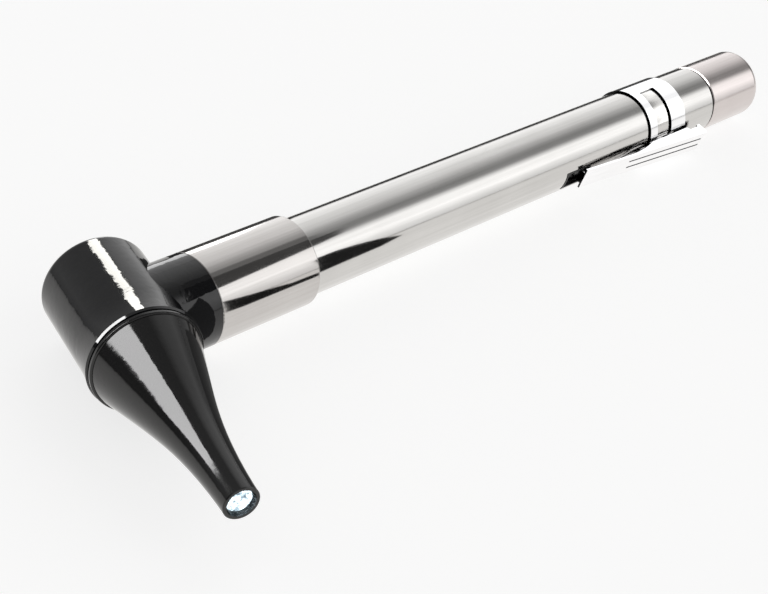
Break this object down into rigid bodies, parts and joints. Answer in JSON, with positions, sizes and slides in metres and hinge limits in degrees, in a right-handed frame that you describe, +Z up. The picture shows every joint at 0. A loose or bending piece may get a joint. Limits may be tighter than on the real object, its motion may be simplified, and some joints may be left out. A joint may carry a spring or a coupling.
{
  "type": "pen-light otoscope",
  "caption": "Pen-light otoscope with an angled black head, tapered speculum, swinging lens, steel handle, pocket-clip switch and screw tail cap.",
  "frame": {"origin": "where the optical axis crosses the handle axis, inside the head", "axes": "+X along the handle from head to tail cap; +Y the side the lens looks to, with the optical axis in the XY plane and leaning 15 degrees towards +X; +Z up as the otoscope lies on its side"},
  "size_m": [0.1608, 0.0521, 0.0174],
  "materials": {
    "gloss_black": "polished moulded plastic",
    "speculum_black": "polished moulded plastic",
    "matte_black": "matte moulded plastic",
    "lens_frame_black": "satin moulded plastic",
    "grommet_black": "matte insulating plastic",
    "clear_acrylic": "clear acrylic, lit from its foot",
    "lens_glass": "polished clear lens",
    "lamp_lens": "clear epoxy, lit",
    "barrel_steel": "satin stainless, brushed lengthwise",
    "sleeve_steel": "satin stainless",
    "cap_steel": "satin stainless, turned",
    "clip_chrome": "bright plated spring steel",
    "screw_steel": "plain steel",
    "spring_steel": "plated spring wire",
    "contact_brass": "plain brass",
    "board_green": "solder-masked board",
    "resistor_black": "chip resistor",
    "liner_film": "insulating film",
    "cell_jacket": "shrink-film jacket",
    "seal_rubber": "moulded rubber"
  },
  "bodies": {
    "handle": {"head_shell": "gloss_black", "sight_tube": "matte_black", "light_cone": "clear_acrylic", "pivot_screw": "screw_steel", "pivot_washer": "screw_steel", "lamp_carrier": "matte_black", "lamp": "lamp_lens", "lamp_board": "board_green", "lamp_resistor": "resistor_black", "lamp_spring": "spring_steel", "contact_plug": "matte_black", "contact_pin": "contact_brass", "sleeve": "sleeve_steel", "barrel": "barrel_steel", "battery_liner": "liner_film", "contact_strip": "contact_brass", "window_grommet": "grommet_black", "battery_front": "cell_jacket", "battery_rear": "cell_jacket", "clip_band": "clip_chrome"},
    "lens_holder": {"lens_frame": "lens_frame_black", "lens": "lens_glass", "lens_retainer": "lens_frame_black"},
    "speculum_body": {"speculum": "speculum_black"},
    "clip_lever": {"clip_arm": "clip_chrome"},
    "seal_ring": {"tail_seal": "seal_rubber"},
    "screw_cap": {"tail_cap": "cap_steel", "tail_spring": "spring_steel"}
  },
  "joints": [
    {"name": "lens_swing", "type": "hinge", "parent": "handle", "child": "lens_holder", "pos_m": [0.00787, 0.00824, -0.00178], "axis": [-0.2588, -0.9659, 0], "range_deg": [0, 100]},
    {"name": "speculum_pull", "type": "slide", "parent": "handle", "child": "speculum_body", "axis": [-0.2588, -0.9659, 0], "range_m": [0, 0.04]},
    {"name": "clip_flex", "type": "hinge", "parent": "handle", "child": "clip_lever", "pos_m": [0.1185, -0.00737, -0.00184], "axis": [0, 0.2419, -0.9703], "range_deg": [-5, 1.1], "stiffness_Nm_per_rad": 1.5},
    {"name": "tail_slide", "type": "slide", "parent": "handle", "child": "seal_ring", "axis": [1, 0, 0], "range_m": [0, 0.00401]},
    {"name": "tail_turn", "type": "hinge", "parent": "seal_ring", "child": "screw_cap", "pos_m": [0.14, 0, 0], "axis": [1, 0, 0], "range_deg": [0, 1440]}
  ],
  "couplings": [
    {"joint": "tail_slide", "follows": "tail_turn", "m_per_rad": 0.00015915}
  ]
}
